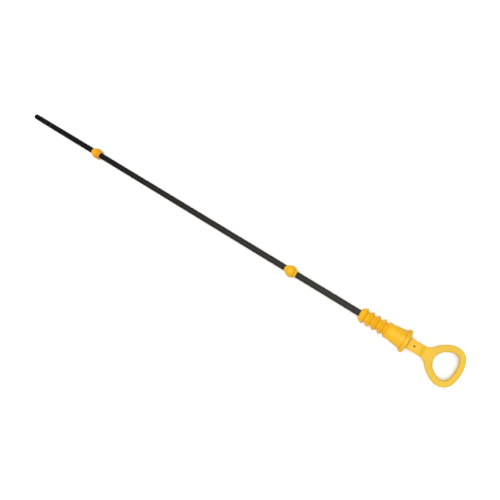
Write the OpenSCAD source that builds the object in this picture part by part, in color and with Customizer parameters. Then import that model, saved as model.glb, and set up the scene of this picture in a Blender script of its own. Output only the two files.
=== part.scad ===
// Engine oil dipstick: a black nylon rod with two guide beads and a moulded handle.
// Every shape is drawn along the rod's own axis, +X from the tip to the ring, with the
// ring flat in the XY plane, and at_rest() then lays the whole dipstick on the floor.

/* [Rod] */
// Length of bare rod from its tip to the nose of the plug
rod_reach = 361.4; // [330:0.1:600]
// Diameter of the rod
rod_d = 5.1; // [4:0.1:5.6]
// Radius that rounds the rod's tip
tip_r = 1.3; // [0.4:0.1:1.9]
// Distance from the tip to the low level mark
low_mark_at = 8.7; // [5:0.1:20]
// Distance from the low level mark to the high level mark
mark_gap = 10.5; // [6:0.1:30]
// Width of each level mark along the rod
mark_w = 1.2; // [0.6:0.1:2]
// Depth of each level mark
mark_depth = 0.3; // [0.1:0.05:0.6]
// Depth of the hatched flat between the level marks
flat_depth = 0.35; // [0.2:0.05:0.7]
// Distance between two hatch grooves along the rod
hatch_pitch = 1.4; // [0.8:0.1:3]
// Depth of the hatch grooves
hatch_depth = 0.18; // [0.08:0.02:0.3]
// Width of the grooves that lock the moulded pieces to the rod
lock_w = 3; // [1:0.1:6]
// Depth of those grooves
lock_depth = 0.3; // [0.1:0.05:0.6]

/* [Guide beads] */
// Distance from the tip to the middle of the lower bead
lower_bead_at = 84.4; // [50:0.1:170]
// Distance from the tip to the middle of the upper bead
upper_bead_at = 299.5; // [220:0.1:345]
// Diameter of a bead
bead_d = 9.6; // [8:0.1:12]
// Diameter of a bead's collars where they leave the ball
collar_d = 6.2; // [6:0.1:7.4]
// Diameter of the collars at their ends
collar_end_d = 5.7; // [5.6:0.1:6]
// Length of a bead with its collars
bead_length = 10.9; // [10:0.1:16]

/* [Plug] */
// Length of the plug from its nose to the flange
plug_length = 35.7; // [34:0.1:60]
// Diameter of the nose's end face
nose_face_d = 8; // [6.4:0.1:9.4]
// Diameter of the nose behind its chamfer
nose_d = 9.8; // [9.4:0.1:12]
// Length of the nose's chamfer
nose_chamfer = 1.1; // [0.5:0.1:2]
// Distance from the nose to the first rib's crest
first_rib = 3.5; // [3.2:0.1:6]
// Number of ribs
rib_count = 4; // [1:1:5]
// Distance between two crests
rib_pitch = 4.9; // [4:0.1:6]
// Diameter over the crests
rib_d = 12.6; // [11.4:0.1:15]
// Diameter at the foot of the ribs
root_d = 8; // [7:0.1:9]
// Radius that rounds each crest
crest_r = 0.4; // [0.2:0.05:0.7]
// Width of the land between two ribs
rib_land = 0.7; // [0.2:0.1:1.5]
// Distance from the last crest to the taper's lip
lip_gap = 4.5; // [3.8:0.1:6.5]
// Diameter of the taper's lip
lip_d = 12.7; // [12:0.1:14]
// Length of the lip, down to where the taper starts
lip_length = 1.2; // [0.8:0.1:2.5]
// Diameter where the taper starts
taper_small_d = 11.9; // [9:0.1:12]
// Diameter where the taper meets the flange
taper_large_d = 14.9; // [12.2:0.1:16]

/* [Flange] */
// Diameter of the flange
flange_d = 18.3; // [17.4:0.1:24]
// Thickness of the flange
flange_t = 3; // [1.2:0.1:4]
// How far the flange's back face rises from the rim to the neck
flange_crown = 0.8; // [0.2:0.1:1.5]
// Radius that rounds the flange's rim
rim_r = 0.45; // [0.2:0.05:0.55]

/* [Neck] */
// Width of the neck across the rod
neck_w = 8.5; // [7:0.1:11]
// Thickness of the neck where it holds the rod
neck_t = 7; // [6.4:0.1:9]
// Length of the thick part of the neck, as far as the rod reaches
neck_length = 8.4; // [8:0.1:13]
// Radius of the two bends that thin the neck down to the ring
neck_bend_r = 6; // [3:0.1:10]
// Distance from the flange to the locating pin holes
pin_hole_at = 5.4; // [3:0.1:7.2]
// Diameter of the locating pin holes
pin_hole_d = 1.35; // [0.8:0.05:2]

/* [Finger ring] */
// Distance from the flange to the finger hole
hole_from_flange = 20.9; // [20.5:0.1:34]
// Width of the finger hole across the rod
hole_w = 21.2; // [18:0.1:26]
// Radius of the finger hole's far side
hole_far_r = 25.2; // [18:0.1:40]
// Radius of the finger hole's two corners
hole_corner_r = 4.9; // [4:0.1:7]
// Radius of the finger hole's two long sides
hole_side_r = 22.4; // [18:0.1:28]
// Radius of the finger hole's end beside the neck
hole_apex_r = 9.9; // [6.5:0.1:11]
// Width of the ring's far side
far_limb = 4.2; // [3.2:0.1:6]
// Width of the ring's two long sides at the corners
side_limb = 5; // [3.6:0.1:6]
// Radius of the ring's two long sides outside
outer_side_r = 23; // [21:0.1:40]
// Radius of the two hollows where the ring leaves the neck
fork_r = 6.5; // [3:0.1:10]
// Thickness of the ring
ring_t = 3.8; // [3:0.1:5.5]
// Radius that rounds every edge of the ring and the neck
edge_r = 1; // [0.4:0.05:1.4]

/* [Hidden] */
$fn = 96;

// How far a cutter stands proud of the skin that it cuts, and how far joined pieces lap
proud = 1;
lap = 0.3;
// Where the ring's corners end and its long sides start, as an angle from +X
corner_to = 110;
// Least land left between the last rib and the taper's lip
least_land = 0.2;
// Slope of the hatch grooves from straight across the rod
hatch_slope = 35;
// Steps in a quarter turn of a rounded edge, in each neck bend and in each rib's crest
edge_steps = 4;
bend_steps = 5;
crest_steps = 4;
// Degrees between two points of the ring's outlines
outline_step = 4;

rod_r = rod_d / 2;
bead_r = bead_d / 2;
root_r = root_d / 2;
flange_r = flange_d / 2;

// Along the plug, from its nose
rib_run = (rib_pitch - rib_land) / 2;
lip_at = first_rib + (rib_count - 1) * rib_pitch + lip_gap;
lip_run = min(rib_run * (lip_d - root_d) / (rib_d - root_d),
              lip_gap - rib_run - least_land);
neck_from_nose = plug_length + flange_t;

// Along the rod, from its tip
high_mark_at = low_mark_at + mark_gap;
flange_at = rod_reach + plug_length;
neck_at = rod_reach + neck_from_nose;
rod_end = neck_at + neck_length;
handle_lock_at = flange_at + flange_t / 2;

// The neck thins down to the ring through two equal bends
neck_half_t = neck_t / 2;
ring_half_t = ring_t / 2;
neck_bend = acos(1 - (neck_half_t - ring_half_t) / (2 * neck_bend_r));

// One side of an outline as three arcs that meet smoothly: the far side, a corner and a
// long side. An arc is [centre x, centre y, radius, from angle, to angle].
function outline(far_x, half_w, far_r, corner_r, side_r, side_to) =
    let (corner_y = half_w - corner_r)
    let (corner_from = asin(corner_y / (far_r - corner_r)))
    let (corner_x = far_x - far_r + (far_r - corner_r) * cos(corner_from))
    [[far_x - far_r, 0, far_r, 0, corner_from],
     [corner_x, corner_y, corner_r, corner_from, corner_to],
     [corner_x - (side_r - corner_r) * cos(corner_to),
      corner_y - (side_r - corner_r) * sin(corner_to), side_r, corner_to, side_to]];

// How far a long side's centre lies below the axis
function side_drop(half_w, corner_r, side_r) =
    (side_r - corner_r) * sin(corner_to) - (half_w - corner_r);

// How far a long side's centre lies ahead of the far side
function side_back(half_w, far_r, corner_r, side_r) =
    let (across = half_w - corner_r)
    far_r - sqrt(pow(far_r - corner_r, 2) - pow(across, 2))
        + (side_r - corner_r) * cos(corner_to);

// The finger hole, measured from the flange's back face: its long sides run into the
// round end beside the neck
hole_half_w = hole_w / 2;
hole_side_to = 180 - asin(side_drop(hole_half_w, hole_corner_r, hole_side_r)
    / (hole_side_r - hole_apex_r));
hole_apex_x = hole_from_flange + hole_apex_r;
hole_far_x = hole_apex_x - (hole_side_r - hole_apex_r) * cos(hole_side_to)
    + side_back(hole_half_w, hole_far_r, hole_corner_r, hole_side_r);
hole_arcs = concat(
    outline(hole_far_x, hole_half_w, hole_far_r, hole_corner_r, hole_side_r, hole_side_to),
    [[hole_apex_x, 0, hole_apex_r, hole_side_to, 180]]);

// The ring outside: its long sides run into the hollows of the fork, whose arcs have the
// plastic on their outer side
ring_far_x = hole_far_x + far_limb;
ring_half_w = hole_half_w + side_limb;
ring_far_r = hole_far_r + far_limb;
ring_corner_r = hole_corner_r + far_limb;
fork_y = neck_w / 2 + fork_r;
fork_from = 180 - asin((fork_y + side_drop(ring_half_w, ring_corner_r, outer_side_r))
    / (outer_side_r + fork_r));
fork_x = ring_far_x - side_back(ring_half_w, ring_far_r, ring_corner_r, outer_side_r)
    + (outer_side_r + fork_r) * cos(fork_from);
ring_arcs = outline(ring_far_x, ring_half_w, ring_far_r, ring_corner_r, outer_side_r,
                    fork_from);
fork_arc = [fork_x, fork_y, fork_r, 180 + fork_from, 270];

// The dipstick rests on its lower bead and on the front edge of the flange's rim
bead_to_rim = flange_at + rim_r - lower_bead_at;
rim_drop = flange_r - rim_r;
rest_pitch = atan(rim_drop / bead_to_rim)
    - asin((bead_r - rim_r) / norm([bead_to_rim, rim_drop]));
axis_height = bead_r - lower_bead_at * sin(rest_pitch);
overall_length = neck_at + ring_far_x;

module at_rest() {
    translate([-overall_length * cos(rest_pitch) / 2, 0, axis_height])
        rotate([0, -rest_pitch, 0]) children();
}

// Turns an outline of [radius, distance along] points about the rod's axis
module turned() {
    rotate([0, 90, 0]) rotate_extrude() children();
}

// Points on an arc about a centre, in steps
function bow(centre, r, from, to, steps) =
    [for (i = [0 : steps])
        let (a = from + (to - from) * i / steps)
        centre + r * [cos(a), sin(a)]];

// A groove with sloping walls in the rod's outline
function groove(at, w, depth) =
    [[rod_r, at - w / 2], [rod_r - depth, at - w / 2 + depth],
     [rod_r - depth, at + w / 2 - depth], [rod_r, at + w / 2]];

// The rod with its turned grooves, which the moulded pieces fit all over
module rod_form() {
    turned() polygon(concat(
        [[0, 0]],
        bow([rod_r - tip_r, tip_r], tip_r, -90, 0, 2 * edge_steps),
        groove(low_mark_at, mark_w, mark_depth),
        groove(high_mark_at, mark_w, mark_depth),
        groove(lower_bead_at, lock_w, lock_depth),
        groove(upper_bead_at, lock_w, lock_depth),
        groove(handle_lock_at, lock_w, lock_depth),
        [[rod_r, rod_end], [0, rod_end]]));
}

// The flat between the two level marks, with crossed grooves that hold a film of oil
module level_flat() {
    flat_z = rod_r - flat_depth;
    flat_from = low_mark_at + mark_w / 2;
    flat_to = high_mark_at - mark_w / 2;
    half_w = sqrt(pow(rod_r, 2) - pow(flat_z, 2));
    spread = (flat_to - flat_from) / 2 - half_w * tan(hatch_slope) - hatch_depth;
    grooves = floor(spread / hatch_pitch);
    reach = 2 * half_w / cos(hatch_slope) + 2 * hatch_depth;
    translate([flat_from, -rod_r, flat_z])
        cube([flat_to - flat_from, rod_d, flat_depth + proud]);
    for (i = [-grooves : grooves], lean = [-1, 1])
        translate([(flat_from + flat_to) / 2 + i * hatch_pitch, 0, flat_z])
            rotate([0, 0, lean * hatch_slope])
                rotate([0, 45, 0])
                    cube([hatch_depth * sqrt(2), reach, hatch_depth * sqrt(2)], center = true);
}

module rod() {
    color("#2f2d29") difference() {
        rod_form();
        level_flat();
    }
}

// A ball with a short tapering collar at each end, moulded round the rod
module bead(at) {
    half = bead_length / 2;
    collar_r = collar_d / 2;
    end_r = collar_end_d / 2;
    leaves_at = sqrt(pow(bead_r, 2) - pow(collar_r, 2));
    inner_r = collar_r + lap * (collar_r - end_r) / (half - leaves_at);
    color("#eaa92c") difference() {
        translate([at, 0, 0]) turned() {
            intersection() {
                circle(bead_r);
                translate([0, -bead_r]) square([bead_r, bead_d]);
            }
            polygon([[0, -half], [end_r, -half], [inner_r, lap - leaves_at],
                     [inner_r, leaves_at - lap], [end_r, half], [0, half]]);
        }
        rod_form();
    }
}

// Where a straight flank from a foot touches the circle that rounds a crest
function touch(foot, crest) =
    let (v = crest - foot, d = norm(v))
    let (lean = (v[1] > 0 ? -1 : 1) * asin(crest_r / d))
    let (a = atan2(v[1], v[0]) + lean)
    foot + sqrt(d * d - crest_r * crest_r) * [cos(a), sin(a)];

// A crest with straight flanks that come down to the feet before and after it
function crest(top_r, at, before, after) =
    let (c = [top_r - crest_r, at])
    let (a = touch(before, c) - c, b = touch(after, c) - c)
    concat([before], bow(c, crest_r, atan2(a[1], a[0]), atan2(b[1], b[0]), crest_steps),
           [after]);

// The plug and its flange in one outline, from the nose back
function plug_outline() = concat(
    [[0, 0], [nose_face_d / 2, 0]],
    [for (i = [0 : rib_count - 1])
        let (at = first_rib + i * rib_pitch)
        let (before = i == 0 ? [nose_d / 2, nose_chamfer] : [root_r, at - rib_run])
        each crest(rib_d / 2, at, before, [root_r, at + rib_run])],
    crest(lip_d / 2, lip_at, [root_r, lip_at - lip_run],
          [taper_small_d / 2, lip_at + lip_length]),
    [[taper_large_d / 2, plug_length]],
    bow([flange_r - rim_r, plug_length + rim_r], rim_r, -90, 0, edge_steps),
    bow([flange_r - rim_r, neck_from_nose - rim_r], rim_r, 0, 90, edge_steps),
    [[neck_w / 2, neck_from_nose + flange_crown], [0, neck_from_nose + flange_crown]]);

// Joins rings of points, each counterclockwise seen from the last ring, into a solid
module lofted(rings) {
    n = len(rings[0]);
    last = (len(rings) - 1) * n;
    polyhedron(
        points = [for (ring = rings) each ring],
        faces = concat(
            [[for (i = [0 : n - 1]) i]],
            [for (k = [0 : n : last - n], i = [0 : n - 1])
                let (next = (i + 1) % n)
                [k + i, k + n + i, k + n + next, k + next]],
            [concat([last], [for (i = [n - 1 : -1 : 1]) last + i])]));
}

// An arc's points without its last one, with its radius changed by grow
function along(arc, grow) =
    let (steps = ceil(abs(arc[4] - arc[3]) / outline_step))
    [for (i = [0 : steps - 1])
        let (a = arc[3] + (arc[4] - arc[3]) * i / steps)
        [arc[0] + (arc[2] + grow) * cos(a), arc[1] + (arc[2] + grow) * sin(a)]];

// A closed outline at height z, from one side of it and the points that lie on the axis
function around(side, on_axis, z) =
    [for (p = concat(side, on_axis, [for (i = [len(side) - 1 : -1 : 1])
        [side[i][0], -side[i][1]]])) [p[0], p[1], z]];

// From the ring's lower face to its upper one: how far the rounded edge draws back from
// the outline, and the height
edge_levels = [for (half = [-1, 1], i = [0 : edge_steps])
    let (a = 90 * (half < 0 ? i / edge_steps - 1 : i / edge_steps))
    [edge_r * (1 - cos(a)), half * (ring_half_t - edge_r) + edge_r * sin(a)]];

module ring_plate() {
    tail = [[fork_x, neck_w / 2], [fork_x - lap, neck_w / 2 - edge_r - lap]];
    lofted([for (level = edge_levels)
        around(concat([for (arc = ring_arcs) each along(arc, -level[0])],
                      along(fork_arc, level[0]),
                      [tail[0] - [0, level[0]], tail[1]]), [], level[1])]);
}

module finger_hole() {
    ends = [[edge_r, -ring_half_t - proud], [edge_r, ring_half_t + proud]];
    lofted([for (level = concat([ends[0]], edge_levels, [ends[1]]))
        around([for (arc = hole_arcs) each along(arc, level[0])],
               [[hole_from_flange - level[0], 0]], level[1])]);
}

// A section across the neck: a rounded rectangle of half thickness half_t
function neck_section(x, half_t) =
    [for (quarter = [0 : 3], i = [0 : edge_steps])
        let (a = 90 * (quarter + i / edge_steps))
        let (y_side = quarter == 0 || quarter == 3 ? 1 : -1, z_side = quarter < 2 ? 1 : -1)
        [x, y_side * (neck_w / 2 - edge_r) + edge_r * cos(a),
         z_side * (half_t - edge_r) + edge_r * sin(a)]];

// The neck starts inside the flange, holds the rod's end and bends down to the ring
module neck() {
    bend_end = neck_length + 2 * neck_bend_r * sin(neck_bend);
    bends = [for (i = [0 : bend_steps]) neck_bend * i / bend_steps];
    lofted(concat(
        [neck_section(-flange_t / 2, neck_half_t)],
        [for (a = bends)
            neck_section(neck_length + neck_bend_r * sin(a),
                         neck_half_t - neck_bend_r * (1 - cos(a)))],
        [for (i = [bend_steps - 1 : -1 : 0])
            neck_section(bend_end - neck_bend_r * sin(bends[i]),
                         ring_half_t + neck_bend_r * (1 - cos(bends[i])))],
        [neck_section(max(bend_end, fork_x) + lap, ring_half_t)]));
}

// The pins that centred the rod in the mould left a hole above it and one below
module pin_holes() {
    translate([pin_hole_at, 0, -neck_t]) cylinder(d = pin_hole_d, h = 2 * neck_t);
}

module handle() {
    color("#f6b52c") difference() {
        translate([rod_reach, 0, 0]) {
            turned() polygon(plug_outline());
            translate([neck_from_nose, 0, 0]) difference() {
                union() {
                    neck();
                    ring_plate();
                }
                finger_hole();
                pin_holes();
            }
        }
        rod_form();
    }
}

at_rest() rod();
at_rest() handle();
at_rest() bead(lower_bead_at);  // lower_bead
at_rest() bead(upper_bead_at);  // upper_bead
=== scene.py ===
"""Engine oil dipstick: finishes, moulding details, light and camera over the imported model."""
import math

import bmesh
import bpy
from mathutils import Matrix, Vector


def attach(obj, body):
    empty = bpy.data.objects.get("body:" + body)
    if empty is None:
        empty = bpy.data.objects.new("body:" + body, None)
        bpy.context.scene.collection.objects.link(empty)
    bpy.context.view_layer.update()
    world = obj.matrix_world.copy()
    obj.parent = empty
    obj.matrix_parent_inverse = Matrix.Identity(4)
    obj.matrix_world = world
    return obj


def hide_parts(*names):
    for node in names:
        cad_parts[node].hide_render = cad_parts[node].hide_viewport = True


MM = 0.001

# How the dipstick lies: the rod's axis climbs from the tip to the flange
LIE = math.radians(0.795774)
TIP_X = -0.220588
TIP_Z = 0.0036278

# The oil stands to just above the upper mark, 19.2 mm from the tip. Its edge wanders over
# 16 mm and fades over 6 mm.
OIL_X = TIP_X + 0.024
OIL_WANDER = 0.016
OIL_FADE = 0.006

# What follows is in millimetres, along the rod from the tip and out from its axis
ROD_R = 2.55

# The beads' balls, the grooves in the rod that lock them, and each bead's middle and half
# its length
BALL_R = 4.8
LOCK_R = 2.25
LOCK_HALF = 1.5
BEADS = (("lower_bead", 84.4, 4.8), ("upper_bead", 299.5, 5.25))

# The handle's nose, the end of its bore, and how far out the bore's outline can reach
NOSE_X = 361.4
BORE_END_X = 408.6
BORE_SIDE = 2.9

# The flash that the mould leaves
FLASH_PROUD = 0.08
FLASH_WIDE = 0.14


def hex_colour(code):
    """Turns an sRGB hex colour into the linear colour that the shaders take."""
    channels = [int(code[i:i + 2], 16) / 255 for i in (1, 3, 5)]
    linear = [c / 12.92 if c <= 0.04045 else ((c + 0.055) / 1.055) ** 2.4 for c in channels]
    return (*linear, 1.0)


def lying():
    """Takes millimetres along the rod's own axis to the place where the dipstick lies."""
    climb = Matrix.Rotation(-LIE, 4, "Y")
    return Matrix.Translation((TIP_X, 0, TIP_Z)) @ climb @ Matrix.Scale(MM, 4)


def node(tree, kind, settings=None, links=None):
    """Adds one shader node, with its settings by name and its links as input to output."""
    made = tree.nodes.new(kind)
    for name, value in (settings or {}).items():
        if name in made.inputs:
            made.inputs[name].default_value = value
        else:
            setattr(made, name, value)
    for name, output in (links or {}).items():
        tree.links.new(output, made.inputs[name])
    return made


def material(name):
    """Starts a material with an empty node tree and its output."""
    made = bpy.data.materials.new(name)
    made.use_nodes = True
    made.node_tree.nodes.clear()
    return made, made.node_tree


def finish_material(tree, shader):
    """Links the shader to the material's output."""
    node(tree, "ShaderNodeOutputMaterial", links={"Surface": shader.outputs["BSDF"]})


def moulded_nylon(name, start_colour, end_colour, shift_from, shift_to):
    """Injection-moulded nylon, a little translucent, with a soft sheen. The mould leaves
    faint flow clouds and a fine spark-eroded grain. Its colour goes from one tone to
    another between two places along the dipstick."""
    made, tree = material(name)
    place = node(tree, "ShaderNodeTexCoord").outputs["Object"]
    along = node(tree, "ShaderNodeSeparateXYZ", links={"Vector": place}).outputs["X"]
    # Flow clouds about 14 mm across, which make it 8 % deeper to 6 % paler
    clouds = node(tree, "ShaderNodeTexNoise",
                  {"Scale": 70.0, "Detail": 3.0, "Roughness": 0.5}, {"Vector": place})
    colour_shift = node(tree, "ShaderNodeMapRange",
                    {"From Min": shift_from, "From Max": shift_to}, {"Value": along})
    tint = node(tree, "ShaderNodeMix", {"data_type": "RGBA"},
                {"Factor": colour_shift.outputs["Result"]})
    tint.inputs[6].default_value = hex_colour(start_colour)
    tint.inputs[7].default_value = hex_colour(end_colour)
    depth = node(tree, "ShaderNodeMapRange",
                 {"From Min": 0.3, "From Max": 0.7, "To Min": 0.92, "To Max": 1.06},
                 {"Value": clouds.outputs["Fac"]})
    clouded = node(tree, "ShaderNodeHueSaturation", links={
        "Color": tint.outputs[2], "Value": depth.outputs["Result"]})
    # The grain is 0.1 mm on a real moulding, drawn at 0.35 mm so that it shows
    grain = node(tree, "ShaderNodeTexNoise",
                 {"Scale": 2900.0, "Detail": 1.0, "Roughness": 0.6}, {"Vector": place})
    sheen = node(tree, "ShaderNodeMapRange",
                 {"From Min": 0.3, "From Max": 0.7, "To Min": 0.46, "To Max": 0.56},
                 {"Value": clouds.outputs["Fac"]})
    bump = node(tree, "ShaderNodeBump", {"Strength": 0.12, "Distance": 0.00006},
                {"Height": grain.outputs["Fac"]})
    shader = node(tree, "ShaderNodeBsdfPrincipled",
                  {"IOR": 1.53, "Specular IOR Level": 0.17, "Subsurface Weight": 0.12,
                   "Subsurface Scale": 0.0008, "Subsurface Radius": (1.0, 0.5, 0.1)},
                  {"Base Color": clouded.outputs["Color"], "Roughness": sheen.outputs["Result"],
                   "Normal": bump.outputs["Normal"]})
    finish_material(tree, shader)
    return made


def drawn_black_nylon():
    """Black nylon rod, drawn through a die: fine lines along it, glossier where the oil
    reaches and duller above. Its colour greys from black towards the handle, which is
    painted reflection, and it is greyer on two bands near the level marks."""
    made, tree = material("drawn_black_nylon")
    place = node(tree, "ShaderNodeTexCoord").outputs["Object"]
    along = node(tree, "ShaderNodeSeparateXYZ", links={"Vector": place}).outputs["X"]
    # Where along the rod the painted reflection stands, from the tip to the handle
    painted_reflection_along = node(tree, "ShaderNodeMapRange", {"From Min": -0.22, "From Max": 0.14},
                  {"Value": along})
    # Painted reflection: black up to the lower bead, then greyer and greyer towards the handle,
    # where the rod would catch more light
    tint = node(tree, "ShaderNodeValToRGB", links={"Fac": painted_reflection_along.outputs["Result"]})
    stops = tint.color_ramp.elements
    stops[0].color = hex_colour("#050504")
    stops[1].color = hex_colour("#2e2c27")
    stops.new(0.256).color = hex_colour("#050504")
    stops.new(0.372).color = hex_colour("#181714")
    # Greyer on the hatched stretch between the marks and on a ring above them: each
    # one's middle in millimetres from the tip, half its length, and its grey
    shade = tint.outputs["Color"]
    for middle, half, grey in ((14.0, 4.2, "#151412"), (22.8, 1.1, "#1b1a17")):
        grey_band = node(tree, "ShaderNodeMath", {"operation": "COMPARE"}, {0: along})
        grey_band.inputs[1].default_value = TIP_X + middle * MM
        grey_band.inputs[2].default_value = half * MM
        patch = node(tree, "ShaderNodeMix", {"data_type": "RGBA"},
                     {"Factor": grey_band.outputs["Value"]})
        tree.links.new(shade, patch.inputs[6])
        patch.inputs[7].default_value = hex_colour(grey)
        shade = patch.outputs[2]
    # Die lines 0.25 mm apart, each some 30 mm long
    lines_place = node(tree, "ShaderNodeMapping", {"Scale": (30.0, 4000.0, 4000.0)},
                       {"Vector": place})
    lines = node(tree, "ShaderNodeTexNoise", {"Scale": 1.0, "Detail": 2.0, "Roughness": 0.6},
                 {"Vector": lines_place.outputs["Vector"]})
    # The oil film ends unevenly a little above the upper mark. The noise is 0.5 on average.
    ragged = node(tree, "ShaderNodeTexNoise", {"Scale": 250.0, "Detail": 2.0}, {"Vector": place})
    reach = node(tree, "ShaderNodeMath", {"operation": "MULTIPLY_ADD"},
                 {0: ragged.outputs["Fac"], 2: along})
    reach.inputs[1].default_value = OIL_WANDER
    film_end = OIL_X + OIL_WANDER / 2
    dull = node(tree, "ShaderNodeMapRange",
                {"From Min": film_end, "From Max": film_end + OIL_FADE,
                 "To Min": 0.3, "To Max": 0.46}, {"Value": reach.outputs["Value"]})
    # The die lines break up the gloss
    streaks = node(tree, "ShaderNodeMath", {"operation": "MULTIPLY_ADD"},
                   {0: lines.outputs["Fac"], 2: dull.outputs["Result"]})
    streaks.inputs[1].default_value = 0.14
    bump = node(tree, "ShaderNodeBump", {"Strength": 0.2, "Distance": 0.00003},
                {"Height": lines.outputs["Fac"]})
    shader = node(tree, "ShaderNodeBsdfPrincipled", {"IOR": 1.53, "Specular IOR Level": 0.09},
                  {"Base Color": shade, "Roughness": streaks.outputs["Value"],
                   "Normal": bump.outputs["Normal"]})
    finish_material(tree, shader)
    return made


def matt_white_board():
    """Matt white card: no gloss, with a barely visible tooth."""
    made, tree = material("matt_white_board")
    place = node(tree, "ShaderNodeTexCoord").outputs["Object"]
    tooth = node(tree, "ShaderNodeTexNoise", {"Scale": 900.0, "Detail": 2.0},
                 {"Vector": place})
    bump = node(tree, "ShaderNodeBump", {"Strength": 0.03, "Distance": 0.0002},
                {"Height": tooth.outputs["Fac"]})
    shader = node(tree, "ShaderNodeBsdfPrincipled",
                  {"Base Color": hex_colour("#fcfcfb"), "Roughness": 0.9,
                   "Specular IOR Level": 0.1},
                  {"Normal": bump.outputs["Normal"]})
    finish_material(tree, shader)
    return made


def piece(name, built, finish):
    """Makes a finished mesh into a piece that rides with the dipstick."""
    mesh = bpy.data.meshes.new(name)
    built.to_mesh(mesh)
    built.free()
    mesh.materials.append(finish)
    made = bpy.data.objects.new(name, mesh)
    bpy.context.scene.collection.objects.link(made)
    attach(made, "root")
    return made


def guide_bead(name, node_name, middle, half, finish):
    """A ball moulded round the rod. It runs out along the rod in a hollow fillet to a thin
    collar, and its inner lip fills the groove that locks it."""
    lip_r = ROD_R + 0.07
    collar_r = lip_r + 0.12
    fillet_r = 1.1
    # The fillet's centre is clear of the ball by its own radius, over the collar
    centre_r = collar_r + fillet_r
    centre_x = math.sqrt((BALL_R + fillet_r) ** 2 - centre_r ** 2)
    meets = math.atan2(centre_r, centre_x)
    bead = bmesh.new()
    # Half of the outline: the inner lip, the bore, the collar's end with its broken edge,
    # and the point where the fillet starts
    corners = [bead.verts.new((x, 0, r)) for x, r in (
        (0, LOCK_R), (LOCK_HALF, LOCK_R), (LOCK_HALF, ROD_R), (half, ROD_R),
        (half, lip_r - 0.04), (half - 0.06, lip_r),
        (min(centre_x, half - 0.1), collar_r))]
    for first, second in zip(corners, corners[1:]):
        bead.edges.new((first, second))
    # The hollow fillet, then the ball up to its middle
    last = corners[-1:]
    for cent, axis, turn, steps in (
            ((last[0].co.x, 0, centre_r), (0, 1, 0), math.pi / 2 - meets, 6),
            ((0, 0, 0), (0, -1, 0), math.pi / 2 - meets, 12)):
        swung = bmesh.ops.spin(bead, geom=last, cent=cent, axis=axis, angle=turn, steps=steps)
        last = [part for part in swung["geom_last"] if isinstance(part, bmesh.types.BMVert)]
    bmesh.ops.mirror(bead, geom=bead.verts[:] + bead.edges[:], axis="X", merge_dist=0.001)
    bmesh.ops.spin(bead, geom=bead.verts[:] + bead.edges[:], cent=(0, 0, 0), axis=(1, 0, 0),
                   angle=2 * math.pi, steps=72, use_merge=True)
    bmesh.ops.remove_doubles(bead, verts=bead.verts, dist=0.001)
    bmesh.ops.recalc_face_normals(bead, faces=bead.faces)
    for face in bead.faces:
        face.smooth = True
    bmesh.ops.transform(bead, matrix=lying() @ Matrix.Translation((middle, 0, 0)),
                        verts=bead.verts)
    made = piece(name, bead, finish)
    made.data.set_sharp_from_angle(angle=math.radians(35))
    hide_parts(node_name)
    return made


def parting_line(name, source, finish, keep):
    """The thin flash that the two halves of the mould leave where they meet, round the
    outline of the piece wherever keep says that it shows."""
    across = (lying().to_3x3() @ Vector((0, 0, 1))).normalized()
    flash = bmesh.new()
    flash.from_mesh(source.data)
    bmesh.ops.remove_doubles(flash, verts=flash.verts, dist=0.002 * MM)
    bmesh.ops.bisect_plane(flash, geom=flash.verts[:] + flash.edges[:] + flash.faces[:],
                           dist=1e-8, plane_co=lying() @ Vector((0, 0, 0)), plane_no=across,
                           clear_inner=True, clear_outer=True)
    home = lying().inverted()
    hidden = [edge for edge in flash.edges
              if not keep(home @ ((edge.verts[0].co + edge.verts[1].co) / 2))]
    bmesh.ops.delete(flash, geom=hidden + flash.faces[:], context="EDGES_FACES")
    bmesh.ops.delete(flash, geom=[v for v in flash.verts if not v.link_edges], context="VERTS")
    bmesh.ops.remove_doubles(flash, verts=flash.verts, dist=0.02 * MM)
    bmesh.ops.translate(flash, verts=flash.verts, vec=across * -FLASH_WIDE / 2 * MM)
    grown = bmesh.ops.extrude_edge_only(flash, edges=flash.edges[:])["geom"]
    bmesh.ops.translate(flash, vec=across * FLASH_WIDE * MM,
                        verts=[v for v in grown if isinstance(v, bmesh.types.BMVert)])
    bmesh.ops.recalc_face_normals(flash, faces=flash.faces)
    made = piece(name, flash, finish)
    wall = made.modifiers.new("wall", "SOLIDIFY")
    wall.thickness = 2 * FLASH_PROUD * MM
    wall.offset = 0.0
    return made


def dress(part, finish):
    """Gives every material slot of a CAD node one finish."""
    for slot in part.material_slots:
        slot.material = finish


def lay_floor():
    """A plain pale board under the dipstick, so wide that its edges are out of sight."""
    board = bmesh.new()
    bmesh.ops.create_grid(board, x_segments=1, y_segments=1, size=6.0)
    mesh = bpy.data.meshes.new("floor")
    board.to_mesh(mesh)
    board.free()
    mesh.materials.append(matt_white_board())
    floor = bpy.data.objects.new("floor", mesh)
    bpy.context.scene.collection.objects.link(floor)


def set_light():
    """Plain studio light: one broad soft light from high over the rod's middle, in a room
    that gives off little light but looks white."""
    world = bpy.data.worlds.new("white_room")
    world.use_nodes = True
    tree = world.node_tree
    tree.nodes.clear()
    seen = node(tree, "ShaderNodeLightPath").outputs["Is Camera Ray"]
    level = node(tree, "ShaderNodeMapRange", {"To Min": 0.1, "To Max": 1.0}, {"Value": seen})
    walls = node(tree, "ShaderNodeBackground", {"Color": hex_colour("#ffffff")},
                 {"Strength": level.outputs["Result"]})
    node(tree, "ShaderNodeOutputWorld", links={"Surface": walls.outputs["Background"]})
    bpy.context.scene.world = world
    lamp = bpy.data.lights.new("overhead", "SUN")
    lamp.angle = math.radians(54)
    lamp.energy = 4.3
    holder = bpy.data.objects.new("overhead", lamp)
    holder.matrix_world = facing(Vector((-0.12, 0.02, 1.4)), Vector((0.0, 0.0, 0.0)),
                                 Vector((1, 0, 0)))
    bpy.context.scene.collection.objects.link(holder)


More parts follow.
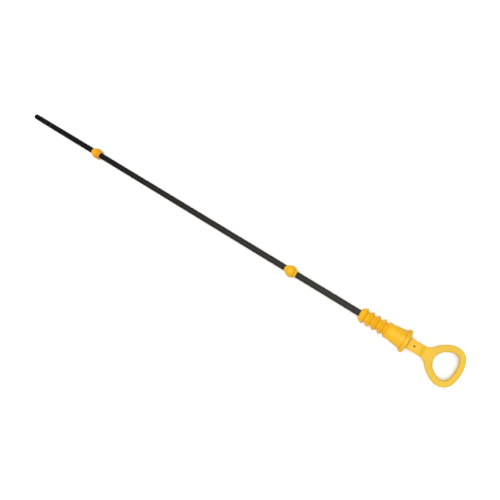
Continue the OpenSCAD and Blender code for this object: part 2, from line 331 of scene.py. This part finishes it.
def facing(eye, aim, up):
    """A place at eye that looks at aim, with up as its upright."""
    back = (eye - aim).normalized()
    right = up.cross(back).normalized()
    turned = Matrix((right, back.cross(right), back)).transposed().to_4x4()
    return Matrix.Translation(eye) @ turned


def set_camera():
    """The photograph's view, as it was fitted in the rod's own millimetres: from over the
    plug, tilted towards the tip, and rolled so that the rod runs from the upper left to
    the lower right."""
    picture = bpy.data.cameras.new("photo_view")
    picture.sensor_width = 36.0
    picture.lens = 32.4
    camera = bpy.data.objects.new("photo_view", picture)
    turn = Matrix.Rotation(-LIE, 3, "Y")
    eye = lying() @ Vector((369.616, 0.0, 352.504))
    right = turn @ Vector((0.81707, 0.5197, -0.2498))
    down = turn @ Vector((0.49699, -0.8544, -0.15195))
    ahead = turn @ Vector((-0.29237, 0.0, -0.9563))
    # The photograph's middle lies a few pixels to the left of and below the fitted view's
    # axis, with the picture 450 pixels away
    middle = ahead * 450 - right * 2.2 + down * 2.3
    camera.matrix_world = facing(eye, eye + middle, -down)
    bpy.context.scene.collection.objects.link(camera)
    bpy.context.scene.camera = camera


def shows_on_handle(at):
    """True for the outline outside the bore: the handle's sides, the nose's face, and all
    that lies past the rod."""
    return abs(at.y) > BORE_SIDE or at.x > BORE_END_X or abs(at.x - NOSE_X) < 0.05


def shows_on_bead(at):
    """True for the outline outside the bore."""
    return abs(at.y) > ROD_R + 0.01


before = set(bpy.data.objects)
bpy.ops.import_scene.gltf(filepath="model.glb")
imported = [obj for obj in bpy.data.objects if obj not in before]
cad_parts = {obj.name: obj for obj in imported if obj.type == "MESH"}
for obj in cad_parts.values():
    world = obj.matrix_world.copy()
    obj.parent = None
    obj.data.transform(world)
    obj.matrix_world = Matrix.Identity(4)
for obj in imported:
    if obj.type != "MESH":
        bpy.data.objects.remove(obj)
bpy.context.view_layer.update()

dress(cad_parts["rod"], drawn_black_nylon())
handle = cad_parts["handle"]
# Deep yellow on the plug, paler past the taper
yellow = moulded_nylon("moulded_yellow_nylon", "#dfa716", "#cfa92f", 0.157, 0.205)
dress(handle, yellow)
parting_line("handle_parting_line", handle, yellow, shows_on_handle)

# The lower bead is a deeper amber than the upper one
amber = moulded_nylon("moulded_amber_nylon", "#d9940f", "#dca614", -0.14, 0.08)
for name, middle, half in BEADS:
    dress(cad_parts[name], amber)
    bead = guide_bead(name + "_moulding", name, middle, half, amber)
    parting_line(name + "_parting_line", bead, amber, shows_on_bead)

lay_floor()
set_light()
set_camera()
bpy.context.scene.view_settings.view_transform = "Standard"
